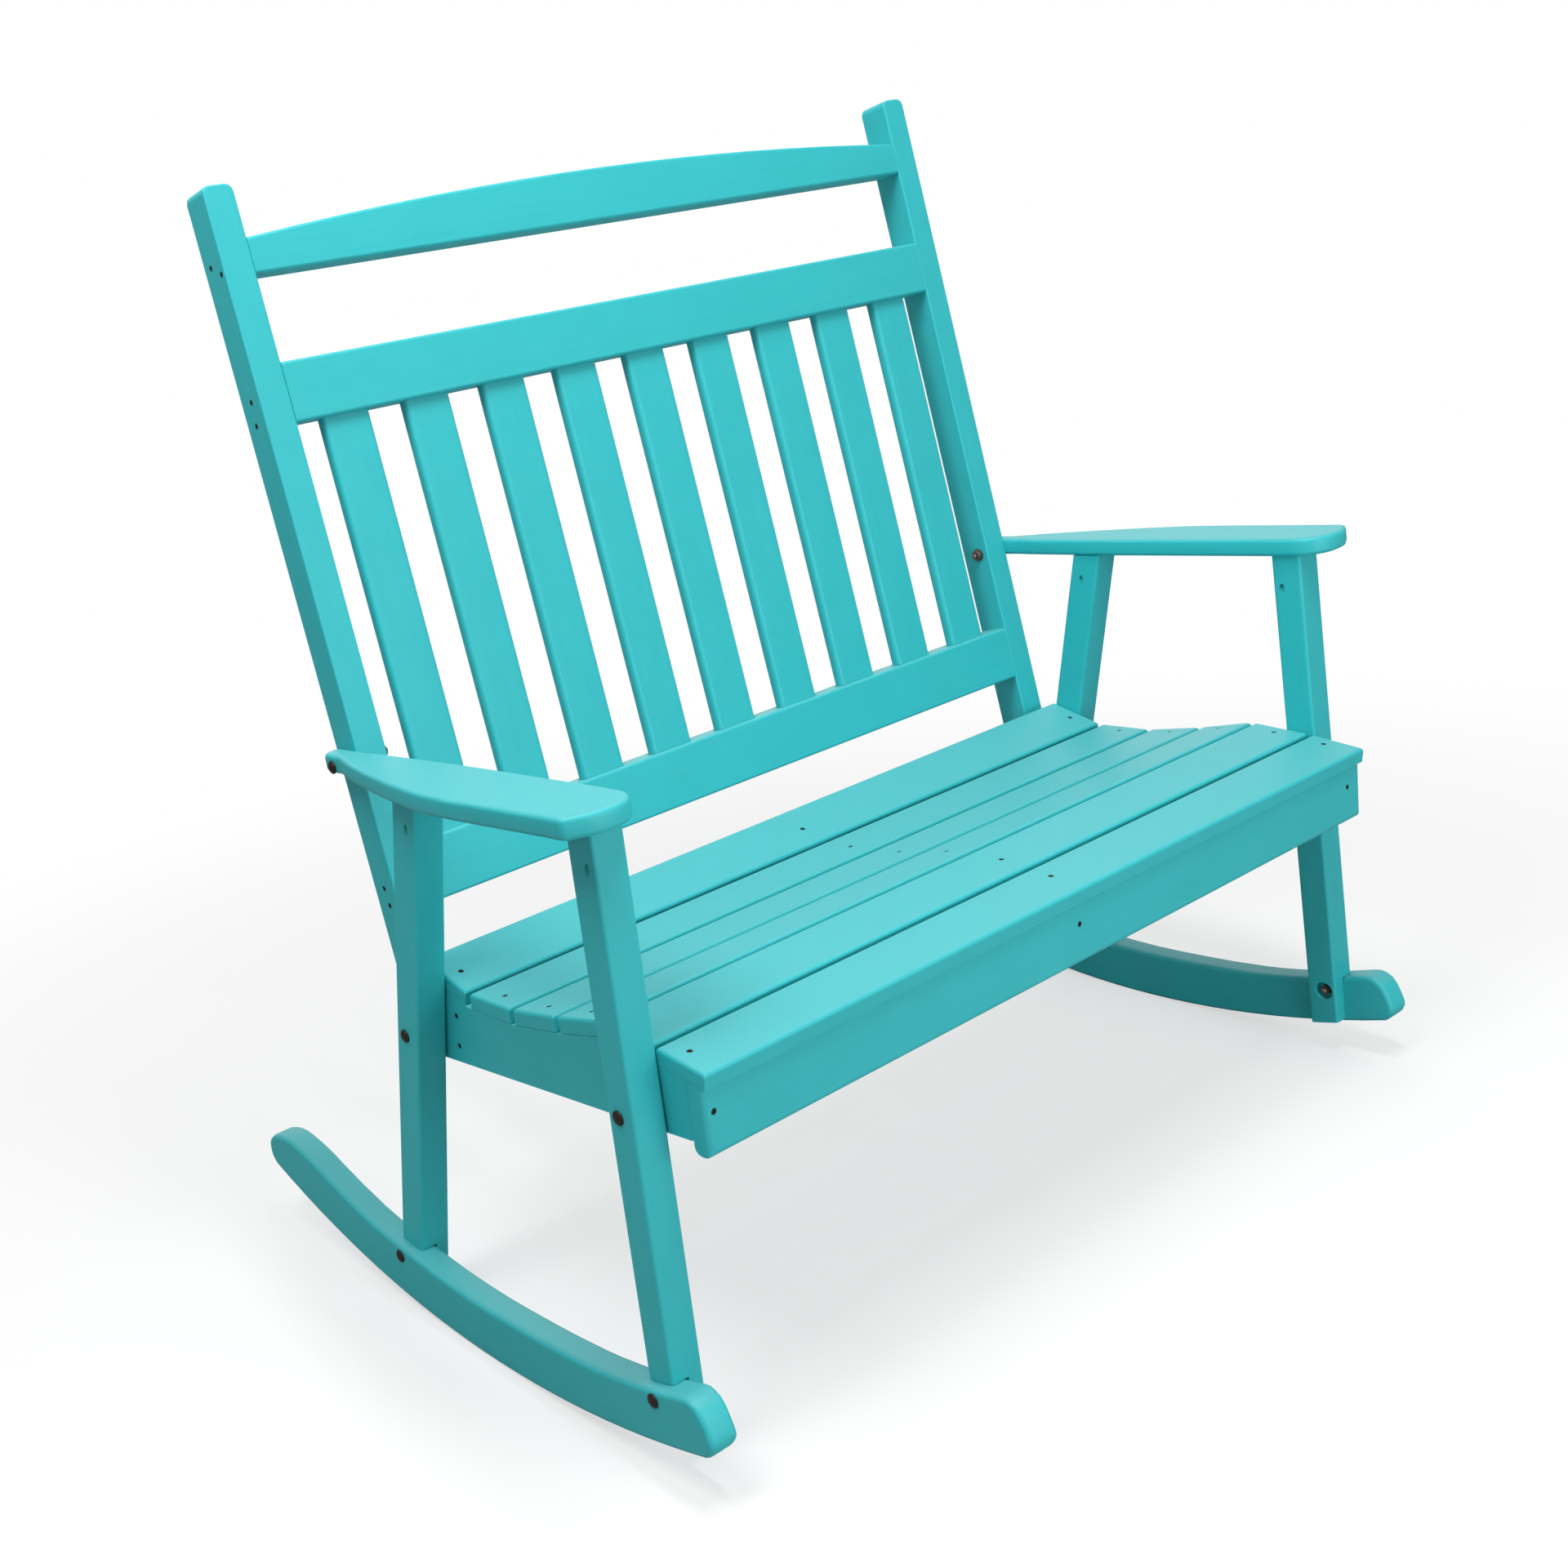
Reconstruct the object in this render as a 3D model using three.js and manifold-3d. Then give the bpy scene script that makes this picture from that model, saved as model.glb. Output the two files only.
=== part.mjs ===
// Double rocking bench of recycled plastic boards: two rockers, four legs, slatted seat and back, two arms.
// Millimetres, +Z up, +X along the bench, the front faces -Y.
// The origin is on the floor below the middle of the bench's outer size.
import * as THREE from 'three';
import { mergeVertices } from 'three/addons/utils/BufferGeometryUtils.js';
import Module from 'manifold-3d';

// Whole bench
const overallWidth = 1200;
const legOverhang = 39.3;
const halfWidth = overallWidth / 2;
const faceGap = 0.3;
const cutOverrun = 60;

// Boards
const postStock = 36.2;
const boardRound = 3.6;
const slatRound = 4.4;
const backSlatRound = 5.5;
const roundSteps = 3;
const bevelSteps = 2;

// Rockers
const rockerRearRadius = 1200;
const rockerFrontRadius = 1340;
const rockerRestShift = 6.6;
const rockerRearReach = 444;
const rockerFrontReach = 379;
const rockerBoardWidth = 64;
const rockerThickness = 33.4;
const rockerOverhang = 18.4;
const rockerRound = 6;
const rockerSteps = 26;
const rockerTopSteps = 44;
// Pairs of share of the reach on that side and share of the board's width above the curved underside,
// from the tail to the nose.
const rockerTailShares = [
  [0.975, 0], [0.993, 0.064], [1, 0.224], [0.995, 0.426], [0.975, 0.618], [0.945, 0.789], [0.9, 0.955],
  [0.855, 1.05], [0.769, 1.121], [0.69, 1.09], [0.531, 1.027], [0.375, 1.015], [0.15, 1.009], [0, 0.998],
];
const rockerNoseShares = [
  [0.15, 0.993], [0.34, 0.975], [0.45, 0.958], [0.54, 0.94], [0.655, 0.938], [0.777, 0.937], [0.842, 0.948],
  [0.9, 0.961], [0.928, 0.93], [0.96, 0.782], [0.98, 0.568], [0.995, 0.337], [1, 0.192], [0.99, 0.08],
  [0.968, 0],
];

// Legs
const legWidth = 37.4;
const frontLegDepth = 37.4;
const rearLegDepth = 40;
const frontLegInset = 61.6;
const frontLegAngle = 2.0;
const rearLegInset = 26.4;
const rearLegAngle = -13.3;
const legSplay = 1.18;
const splayRise = 1.4;
const tongueClearance = 5;

// Armrests
const armRise = 221.3;
const armSlope = 2.93;
const armThickness = 21.6;
const armRearSetback = 10.6;
const armLength = 513;
const armFrontWidth = 89.5;
const armRearWidth = 23.7;
const armFrontOuterRound = 9;
const armFrontMiddleRound = 45;
const armFrontInnerRound = 37;
const armRearOuterRound = 10;
const armRearInnerRound = 8;
const armRound = 5;
const armFrontTaper = 4;
const armPostMargin = 8;
// Pairs of share of the arm's length from its rear end and share of the way from its rear width
// to its full width.
const armOuterShares = [
  [0.16, 0.27], [0.26, 0.51], [0.37, 0.73], [0.465, 0.89], [0.544, 0.98], [0.62, 1], [0.74, 0.975],
];
const armFrontOuterShare = 0.9;
// Corners of the front edge, from the outer one: share of the arm's length and share of its front width.
const armFrontShares = [[0.961, 0.955], [0.99, 0.665], [1, 0]];
// Pairs of share of the arm's length and share of the way from the post's face to the front's inner edge.
const armInnerShares = [[0.86, 0.97], [0.72, 0.9], [0.58, 0.83], [0.42, 0.72], [0.25, 0.42], [0.17, 0.24]];

// Back
const postSeatGap = 24.64;
const postTopHeight = 1235.8;
const backAngle = 10.69;
const postDepth = 42.8;
const postWidth = postStock;
const postFootDrop = 6.5;
const postCornerRound = 9;
const postRound = 2;
const backRailThickness = 35.2;
const crestBottomDrop = 95.6;
const crestEndDrop = 57;
const crestMiddleDrop = 35;
const crestSteps = 18;
const upperRailDrop = 189;
const upperRailWidth = 65;
const lowerRailRise = 101.4;
const lowerRailWidth = 69;
const backSlatCount = 9;
const backSlatWidth = 59.5;
const backSlatEndGap = 35.3;
const backSlatThickness = 16;
const backSlatSetback = 8;
const slatTenon = 10;

// Seat
const seatRearY = 84.5;
const seatDepth = 451;
const seatHeight = 430.6;
const slatThickness = 17.8;
const slatGap = 7;
// Points along the top of the seat: share of the seat's depth from its rear edge and share
// of the seat's height.
const seatLineShares = [
  [0, 0.9758], [0.1699, 0.9268], [0.3419, 0.9329], [0.5129, 0.9626],
  [0.6778, 1], [0.8475, 0.9884], [1, 0.9682],
];
const railThickness = 36.2;
const railBottomDrop = 116.9;
const railBottomSlope = 4.88;
const railRound = 3;
const supportWidth = 36.2;
const crossBoardThickness = 36.2;
const crossBoardInset = 27.5;
const crossBoardRise = 6;
const apronThickness = 21.3;
const apronSetback = 6.7;
const apronBottomDrop = 100.6;
const apronRound = 8;
const apronEndRound = 5;

// Bolts and nuts
const shankDiameter = 6.4;
const headDiameter = 15.2;
const headHeight = 3.6;
const boltTip = 2;
const nutAcrossFlats = 11;
const nutHeight = 5.5;
const washerDiameter = 17;
const flangeDiameter = 12.6;
const washerThickness = 1.4;
const counterboreDiameter = 23;
const counterboreDepth = 9;
const holeClearance = 0.25;
const roundSides = 20;
const headSteps = 4;
const rearRockerBoltHeight = 61.7;
const frontRockerBoltHeight = 84.4;
const rearRailBoltDrop = 85.6;
const frontRailBoltDrop = 65.6;
const rearBoltShift = 3.5;
const frontBoltShift = 3;
const armBoltInset = 20.5;
const armBoltDrop = 14;

// Colours
const boards = new THREE.MeshStandardMaterial({ name: 'plastic_board', color: '#43bcc2' });
boards.roughness = 0.55;
boards.metalness = 0;
const fasteners = new THREE.MeshStandardMaterial({ name: 'bronze_steel', color: '#3a2a28' });
fasteners.roughness = 0.45;
fasteners.metalness = 0.7;

const wasm = await Module();
wasm.setup();

// Planes across the bench, on the right side
const legOuterX = halfWidth - legOverhang;
const legInnerX = legOuterX - legWidth;
const rockerOuterX = halfWidth - rockerOverhang;
const rockerInnerX = rockerOuterX - rockerThickness;
const postInnerX = legInnerX - postWidth;
const railInnerX = legInnerX - railThickness;
const armRearOuterX = legInnerX + armRearWidth;
const armInnerFrontX = halfWidth - armFrontWidth;

function degrees(angle) {
  return THREE.MathUtils.degToRad(angle);
}

// Places along the bench's depth and heights that follow from the sizes above
const splayHeight = seatHeight + splayRise;
const railBottomRear = seatHeight - railBottomDrop;
const apronBottom = seatHeight - apronBottomDrop;
const rearRailBoltHeight = seatHeight - rearRailBoltDrop;
const frontRailBoltHeight = seatHeight - frontRailBoltDrop;
const armHeight = seatHeight + armRise;
const postTopY = seatRearY + postSeatGap + (postTopHeight - seatHeight) * Math.tan(degrees(backAngle));
const postLength = (postTopHeight - railBottomRear + postFootDrop) / Math.cos(degrees(backAngle));
const armRearY = postFrontY(armHeight) + postDepth / Math.cos(degrees(backAngle)) - armRearSetback;
const apronFrontY = seatRearY - seatDepth + apronSetback;
const apronRearY = apronFrontY + apronThickness;
const railFrontY = apronRearY;
const crossBoardRearY = seatRearY - crossBoardInset;
const crossBoardFrontY = crossBoardRearY - crossBoardThickness;
const frontLegRailY = seatRearY - seatDepth + frontLegInset;
const frontLegFootY = frontLegRailY - frontRailBoltHeight * Math.tan(degrees(frontLegAngle));
const rearLegRailY = seatRearY - rearLegInset;
const rearLegFootY = rearLegRailY - rearRailBoltHeight * Math.tan(degrees(rearLegAngle));
const lowerRailDrop = (postTopHeight - seatHeight) / Math.cos(degrees(backAngle)) - lowerRailRise;
const backSlatSpan = 2 * (postInnerX - backSlatEndGap) - backSlatWidth;
const backSlatPitch = backSlatSpan / (backSlatCount - 1);

// Solids: a closed geometry becomes a manifold, and back

function toManifold(geometry) {
  const bare = geometry.clone();
  for (const name of Object.keys(bare.attributes)) {
    if (name !== 'position') {
      bare.deleteAttribute(name);
    }
  }
  const merged = mergeVertices(bare);
  return new wasm.Manifold(new wasm.Mesh({
    numProp: 3,
    vertProperties: Float32Array.from(merged.attributes.position.array),
    triVerts: Uint32Array.from(merged.index.array),
  }));
}

function toGeometry(manifold) {
  const data = manifold.getMesh();
  const geometry = new THREE.BufferGeometry();
  geometry.setAttribute('position', new THREE.BufferAttribute(Float32Array.from(data.vertProperties), 3));
  geometry.setIndex(new THREE.BufferAttribute(Uint32Array.from(data.triVerts), 1));
  const flat = geometry.toNonIndexed();
  flat.computeVertexNormals();
  return flat;
}

function subtractAll(geometry, cutters) {
  let solid = toManifold(geometry);
  for (const cutter of cutters) {
    solid = solid.subtract(toManifold(cutter));
  }
  return toGeometry(solid);
}

function joinAll(geometries) {
  let solid = toManifold(geometries[0]);
  for (const geometry of geometries.slice(1)) {
    solid = solid.add(toManifold(geometry));
  }
  return toGeometry(solid);
}

function mirrored(geometry) {
  const flat = geometry.index ? geometry.toNonIndexed() : geometry.clone();
  const position = flat.attributes.position;
  const copy = new Float32Array(position.count * 3);
  for (let face = 0; face < position.count; face += 3) {
    [face, face + 2, face + 1].forEach((from, step) => {
      copy.set([-position.getX(from), position.getY(from), position.getZ(from)], (face + step) * 3);
    });
  }
  const result = new THREE.BufferGeometry();
  result.setAttribute('position', new THREE.BufferAttribute(copy, 3));
  result.computeVertexNormals();
  return result;
}

// Outlines: corners given as [a, b] and one rounding radius each become a closed list of points

function roundedOutline(corners, radii, steps = roundSteps) {
  const points = [];
  corners.forEach((corner, index) => {
    const here = new THREE.Vector2(...corner);
    const radius = radii[index];
    if (radius === 0) {
      points.push(here);
      return;
    }
    const before = new THREE.Vector2(...corners.at(index - 1)).sub(here).normalize();
    const after = new THREE.Vector2(...corners[(index + 1) % corners.length]).sub(here).normalize();
    const half = Math.acos(THREE.MathUtils.clamp(before.dot(after), -1, 1)) / 2;
    const reach = radius / Math.tan(half);
    const inward = before.clone().add(after).normalize();
    const centre = here.clone().addScaledVector(inward, radius / Math.sin(half));
    const start = here.clone().addScaledVector(before, reach).sub(centre);
    const turn = Math.PI - 2 * half;
    const sense = -Math.sign(before.cross(after));
    for (let step = 0; step <= steps; step += 1) {
      points.push(start.clone().rotateAround(new THREE.Vector2(), sense * turn * step / steps).add(centre));
    }
  });
  return points;
}

function extrudeOutline(points, length, edgeRound) {
  const shape = new THREE.Shape(points);
  const options = { depth: length - 2 * edgeRound, bevelEnabled: edgeRound > 0, steps: 1 };
  if (edgeRound > 0) {
    options.bevelThickness = edgeRound;
    options.bevelSize = edgeRound;
    options.bevelOffset = -edgeRound;
    options.bevelSegments = bevelSteps;
  }
  const geometry = new THREE.ExtrudeGeometry(shape, options);
  geometry.translate(0, 0, edgeRound);
  return geometry;
}

// A board that runs along X: its side outline is drawn in Y and Z
function boardAlongX(points, fromX, toX, edgeRound = 0) {
  const geometry = extrudeOutline(points, toX - fromX, edgeRound);
  const frame = new THREE.Matrix4().makeBasis(
    new THREE.Vector3(0, 1, 0),
    new THREE.Vector3(0, 0, 1),
    new THREE.Vector3(1, 0, 0),
  );
  geometry.applyMatrix4(frame);
  geometry.translate(fromX, 0, 0);
  return geometry;
}

function cylinderAlongX(y, z, diameter, fromX, toX) {
  const geometry = new THREE.CylinderGeometry(diameter / 2, diameter / 2, toX - fromX, roundSides);
  geometry.rotateZ(-Math.PI / 2);
  geometry.translate((fromX + toX) / 2, y, z);
  return geometry;
}

function shankHole(y, z, fromX, toX) {
  return cylinderAlongX(y, z, shankDiameter + 2 * holeClearance, fromX, toX);
}

// Lines and curves that several pieces follow

function rockerArcHeight(y) {
  const across = y - rockerRestShift;
  const radius = across > 0 ? rockerRearRadius : rockerFrontRadius;
  return radius - Math.sqrt(radius * radius - across * across);
}

function rockerTopLine() {
  const tail = rockerTailShares.map(([along, up]) => [along * rockerRearReach, up]);
  const nose = rockerNoseShares.map(([along, up]) => [-along * rockerFrontReach, up]);
  const places = [...tail, ...nose].map(([y, up]) => {
    return new THREE.Vector2(y, rockerArcHeight(y) + up * rockerBoardWidth);
  });
  return new THREE.SplineCurve(places).getPoints(rockerTopSteps);
}

function rockerOutline() {
  const points = rockerTopLine();
  const noseY = points.at(-1).x;
  const tailY = points[0].x;
  for (let step = 1; step < rockerSteps; step += 1) {
    const y = noseY + (tailY - noseY) * step / rockerSteps;
    points.push(new THREE.Vector2(y, rockerArcHeight(y)));
  }
  return points;
}

function armTopHeight(y) {
  return armHeight - Math.tan(degrees(armSlope)) * y;
}

function armUndersideHeight(y) {
  return armTopHeight(y) - armThickness / Math.cos(degrees(armSlope));
}

// How far a leg stands out at a height: the legs spread towards the floor
function splayAt(z) {
  return Math.tan(degrees(legSplay)) * (splayHeight - z);
}

function legFrontY(footY, lean, z) {
  return footY + Math.tan(degrees(lean)) * z;
}

function frontLegCentreY(z) {
  return legFrontY(frontLegFootY, frontLegAngle, z) + frontLegDepth / Math.cos(degrees(frontLegAngle)) / 2;
}

function rearLegCentreY(z) {
  return legFrontY(rearLegFootY, rearLegAngle, z) + rearLegDepth / Math.cos(degrees(rearLegAngle)) / 2;
}

function postFrontY(z) {
  return postTopY - (postTopHeight - z) * Math.tan(degrees(backAngle));
}

function railBottomHeight(y) {
  return railBottomRear - Math.tan(degrees(railBottomSlope)) * y;
}

const seatLine = seatLineShares.map(([back, up]) => {
  return new THREE.Vector2(seatRearY - back * seatDepth, up * seatHeight);
});

// One seat slat's two top edges and the direction straight down through it
function slatLine(index) {
  const rear = seatLine[index].clone();
  const front = seatLine[index + 1].clone();
  const along = front.clone().sub(rear).normalize();
  const down = new THREE.Vector2(-along.y, along.x);
  if (index > 0) {
    rear.addScaledVector(along, slatGap / 2);
  }
  if (index < seatLine.length - 2) {
    front.addScaledVector(along, -slatGap / 2);
  }
  return { rear, front, along, down };
}

function slatOutline(index) {
  const { rear, front, down } = slatLine(index);
  const lowRear = rear.clone().addScaledVector(down, slatThickness);
  const lowFront = front.clone().addScaledVector(down, slatThickness);
  const corners = [rear, lowRear, lowFront, front].map((point) => point.toArray());
  return roundedOutline(corners, [slatRound, 0, 0, slatRound]);
}

// A seat slat: its top edges are rounded along its length and at its ends
function seatSlatGeometry(index) {
  const { rear, along, down } = slatLine(index);
  const endOutline = roundedOutline(
    [[-legInnerX, -cutOverrun], [legInnerX, -cutOverrun], [legInnerX, 0], [-legInnerX, 0]],
    [0, 0, slatRound, slatRound],
  );
  const ends = extrudeOutline(endOutline, seatDepth, 0);
  ends.applyMatrix4(new THREE.Matrix4().makeBasis(
    new THREE.Vector3(1, 0, 0),
    new THREE.Vector3(0, -down.x, -down.y),
    new THREE.Vector3(0, along.x, along.y),
  ));
  const start = rear.clone().addScaledVector(along, -cutOverrun);
  ends.translate(0, start.x, start.y);
  const board = boardAlongX(slatOutline(index), -legInnerX - cutOverrun, legInnerX + cutOverrun);
  return toGeometry(toManifold(board).intersect(toManifold(ends)));
}

const slatIndexes = seatLine.slice(1).map((point, index) => index);

// The line on which the slats rest, from rear to front, kept a hair below them
function bearingLine() {
  const points = [];
  for (const index of slatIndexes) {
    const { rear, front, down } = slatLine(index);
    points.push(rear.clone().addScaledVector(down, slatThickness + faceGap));
    points.push(front.clone().addScaledVector(down, slatThickness + faceGap));
  }
  return points;
}

function bearingHeight(y) {
  const line = bearingLine();
  for (let index = 0; index < line.length - 1; index += 1) {
    const rear = line[index];
    const front = line[index + 1];
    if (y <= rear.x && y >= front.x) {
      return THREE.MathUtils.mapLinear(y, rear.x, front.x, rear.y, front.y);
    }
  }
  return y > line[0].x ? extended(line[0], line[1], y) : extended(line.at(-1), line.at(-2), y);
}

function extended(end, inner, y) {
  return end.y + (end.y - inner.y) * (y - end.x) / (end.x - inner.x);
}

// The side outline of a seat bearer between two places along Y
function bearerOutline(rearY, frontY) {
  const inside = bearingLine().filter((point) => point.x < rearY && point.x > frontY);
  const top = [[rearY, bearingHeight(rearY)]];
  top.push(...inside.map((point) => point.toArray()));
  top.push([frontY, bearingHeight(frontY)]);
  const corners = [...top, [frontY, railBottomHeight(frontY)], [rearY, railBottomHeight(rearY)]];
  const radii = corners.map((corner, index) => (index >= top.length ? railRound : 0));
  return roundedOutline(corners, radii);
}

// Bolt places: the Y and Z of the bolt, where its head and nut stand along X,
// and the diameter of the washer or flange under the nut

const boltPlaces = {
  rocker_bolt_rear: {
    y: rearLegCentreY(rearRockerBoltHeight) + rearBoltShift,
    z: rearRockerBoltHeight,
    headX: rockerOuterX,
    seatX: legInnerX + splayAt(rearRockerBoltHeight) + counterboreDepth,
    nutBase: flangeDiameter,
  },
  rocker_bolt_front: {
    y: frontLegCentreY(frontRockerBoltHeight) - frontBoltShift,
    z: frontRockerBoltHeight,
    headX: rockerOuterX,
    seatX: legInnerX + splayAt(frontRockerBoltHeight) + counterboreDepth,
    nutBase: flangeDiameter,
  },
  rail_bolt_rear: {
    y: rearLegCentreY(rearRailBoltHeight) + rearBoltShift,
    z: rearRailBoltHeight,
    headX: legOuterX + splayAt(rearRailBoltHeight) + faceGap,
    seatX: railInnerX,
    nutBase: washerDiameter,
  },
  rail_bolt_front: {
    y: frontLegCentreY(frontRailBoltHeight) + frontBoltShift,
    z: frontRailBoltHeight,
    headX: legOuterX + splayAt(frontRailBoltHeight) + faceGap,
    seatX: railInnerX,
    nutBase: washerDiameter,
  },
  arm_bolt: {
    y: armRearY - armBoltInset,
    z: armTopHeight(armRearY - armBoltInset) - armBoltDrop,
    headX: armRearOuterX,
    seatX: postInnerX,
    nutBase: washerDiameter,
  },
};

function holeFor(name) {
  const place = boltPlaces[name];
  return shankHole(place.y, place.z, place.seatX - cutOverrun, place.headX + cutOverrun);
}

function counterboreFor(name) {
  const place = boltPlaces[name];
  return cylinderAlongX(place.y, place.z, counterboreDiameter, legInnerX - cutOverrun, place.seatX);
}

// A round-headed bolt with its shank in one turned piece
function boltGeometry(place) {
  const shankEnd = place.seatX - washerThickness - nutHeight - boltTip;
  const profile = [new THREE.Vector2(0, shankEnd - place.headX)];
  profile.push(new THREE.Vector2(shankDiameter / 2 - boltTip / 4, shankEnd - place.headX));
  profile.push(new THREE.Vector2(shankDiameter / 2, shankEnd - place.headX + boltTip / 4));
  profile.push(new THREE.Vector2(shankDiameter / 2, 0));
  for (let step = 0; step < headSteps; step += 1) {
    const angle = Math.PI / 2 * step / headSteps;
    profile.push(new THREE.Vector2(headDiameter / 2 * Math.cos(angle), headHeight * Math.sin(angle)));
  }
  profile.push(new THREE.Vector2(0, headHeight));
  const geometry = new THREE.LatheGeometry(profile, roundSides);
  geometry.rotateZ(-Math.PI / 2);
  geometry.translate(place.headX, place.y, place.z);
  return geometry;
}

// A hexagon nut on its washer, with the bolt's hole through both
function nutGeometry(place) {
  const radius = nutAcrossFlats / 2 / Math.cos(Math.PI / 6);
  const nut = new THREE.CylinderGeometry(radius, radius, nutHeight + washerThickness / 2, 6);
  nut.rotateZ(-Math.PI / 2);
  const nutFarX = place.seatX - washerThickness - nutHeight;
  nut.translate(nutFarX + (nutHeight + washerThickness / 2) / 2, place.y, place.z);
  const washerFarX = place.seatX - washerThickness;
  const washer = cylinderAlongX(place.y, place.z, place.nutBase, washerFarX, place.seatX);
  const both = joinAll([nut, washer]);
  return subtractAll(both, [shankHole(place.y, place.z, nutFarX - cutOverrun, place.seatX + cutOverrun)]);
}

// Pieces on the right side

function rockerGeometry() {
  const board = boardAlongX(rockerOutline(), rockerInnerX, rockerOuterX, rockerRound);
  return subtractAll(board, [holeFor('rocker_bolt_rear'), holeFor('rocker_bolt_front')]);
}

function outlineBelow(points, drop) {
  const rear = points[0];
  const front = points.at(-1);
  return [...points, new THREE.Vector2(front.x, -drop), new THREE.Vector2(rear.x, -drop)];
}

// Takes away what would stand in the rocker: the outer part of the leg rests on the rocker's top
function rockerTopCutter() {
  const line = rockerTopLine();
  const middle = line.slice(tailTurn(line), noseTurn(line) + 1);
  const lifted = middle.map((point) => new THREE.Vector2(point.x, point.y + faceGap));
  const outline = outlineBelow(lifted, 2 * cutOverrun);
  return boardAlongX(outline, rockerInnerX - faceGap, rockerOuterX + cutOverrun);
}

function tailTurn(points) {
  return points.findIndex((point, index) => {
    const next = points[index + 1];
    return next.x < point.x && next.y < point.y;
  });
}

function noseTurn(points) {
  const high = Math.max(...points.filter((point) => point.x < 0).map((point) => point.y));
  return points.findIndex((point) => point.x < 0 && point.y === high);
}

// Takes away what would reach the floor: the inner part of the leg ends just above the rocker's lower edge
function footCutter(middleY) {
  const points = [];
  for (const share of [1, 0.5, 0, -0.5, -1]) {
    const y = middleY + share * cutOverrun;
    points.push(new THREE.Vector2(y, rockerArcHeight(y) + tongueClearance));
  }
  const outline = outlineBelow(points, 2 * cutOverrun);
  return boardAlongX(outline, legInnerX - cutOverrun, rockerOuterX + cutOverrun);
}

function armCutter() {
  const rearY = armRearY + cutOverrun;
  const frontY = armRearY - armLength - cutOverrun;
  const above = armTopHeight(frontY) + 2 * cutOverrun;
  const points = [
    new THREE.Vector2(rearY, armUndersideHeight(rearY) - faceGap),
    new THREE.Vector2(rearY, above),
    new THREE.Vector2(frontY, above),
    new THREE.Vector2(frontY, armUndersideHeight(frontY) - faceGap),
  ];
  return boardAlongX(points, legInnerX - cutOverrun, legOuterX + cutOverrun);
}

function legGeometry(footY, lean, depth, boltNames) {
  const section = roundedOutline(
    [[legInnerX, 0], [legOuterX, 0], [legOuterX, depth], [legInnerX, depth]],
    [boardRound, boardRound, boardRound, boardRound],
  );
  const length = armHeight / Math.cos(degrees(lean)) + 2 * cutOverrun;
  const leg = extrudeOutline(section, length, 0);
  const angle = degrees(lean);
  leg.translate(0, 0, -cutOverrun);
  leg.applyMatrix4(new THREE.Matrix4().makeBasis(
    new THREE.Vector3(1, 0, 0),
    new THREE.Vector3(0, Math.cos(angle), -Math.sin(angle)),
    new THREE.Vector3(0, Math.sin(angle), Math.cos(angle)),
  ));
  leg.translate(-legInnerX, footY, -splayHeight);
  leg.rotateY(-degrees(legSplay));
  leg.translate(legInnerX, 0, splayHeight);
  const cutters = [armCutter(), rockerTopCutter(), footCutter(footY)];
  for (const name of boltNames) {
    cutters.push(holeFor(name));
  }
  cutters.push(counterboreFor(boltNames[0]));
  return subtractAll(leg, cutters);
}

function armGeometry() {
  const rearX = legInnerX;
  const straight = armBoltInset + headDiameter;
  const outline = [];
  outline.push(...roundedOutline(
    [[rearX, postDepth + armPostMargin], [rearX, 0], [armRearOuterX, 0], [armRearOuterX, straight]],
    [0, armRearInnerRound, armRearOuterRound, 0],
  ).slice(0, -1));
  const edge = [new THREE.Vector2(armRearOuterX, straight)];
  for (const [along, out] of armOuterShares) {
    edge.push(new THREE.Vector2(armRearOuterX + out * (halfWidth - armRearOuterX), along * armLength));
  }
  const frontOuterX = halfWidth - armFrontTaper;
  edge.push(new THREE.Vector2(frontOuterX, armFrontOuterShare * armLength));
  outline.push(...new THREE.SplineCurve(edge).getPoints(2 * edge.length));
  const frontCorners = armFrontShares.map(([along, out]) => {
    return [armInnerFrontX + out * armFrontWidth, along * armLength];
  });
  const front = roundedOutline(
    [edge.at(-1).toArray(), ...frontCorners, outline[0].toArray()],
    [0, armFrontOuterRound, armFrontMiddleRound, armFrontInnerRound, 0],
    2 * roundSteps,
  );
  outline.push(...front.slice(1, -1));
  const inner = armInnerShares.map(([along, out]) => {
    return new THREE.Vector2(rearX + out * (armInnerFrontX - rearX), along * armLength);
  });
  outline.push(...new THREE.SplineCurve([...inner, outline[0]]).getPoints(2 * inner.length).slice(0, -1));
  const board = extrudeOutline(outline, armThickness, armRound);
  const angle = degrees(armSlope);
  board.applyMatrix4(new THREE.Matrix4().makeBasis(
    new THREE.Vector3(1, 0, 0),
    new THREE.Vector3(0, -Math.cos(angle), Math.sin(angle)),
    new THREE.Vector3(0, -Math.sin(angle), -Math.cos(angle)),
  ));
  board.translate(0, armRearY, armTopHeight(armRearY));
  return subtractAll(board, [holeFor('arm_bolt')]);
}

function backFrame() {
  const angle = degrees(backAngle);
  const frame = new THREE.Matrix4().makeBasis(
    new THREE.Vector3(1, 0, 0),
    new THREE.Vector3(0, Math.sin(angle), Math.cos(angle)),
    new THREE.Vector3(0, -Math.cos(angle), Math.sin(angle)),
  );
  frame.setPosition(0, postTopY, postTopHeight);
  return frame;
}

// A board of the back: its outline is drawn across and along the back,
// and its front face stands a setback behind the posts' front faces
function backBoard(points, thickness, setback, edgeRound) {
  const geometry = extrudeOutline(points, thickness, edgeRound);
  geometry.translate(0, 0, -setback - thickness);
  return geometry.applyMatrix4(backFrame());
}

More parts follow.
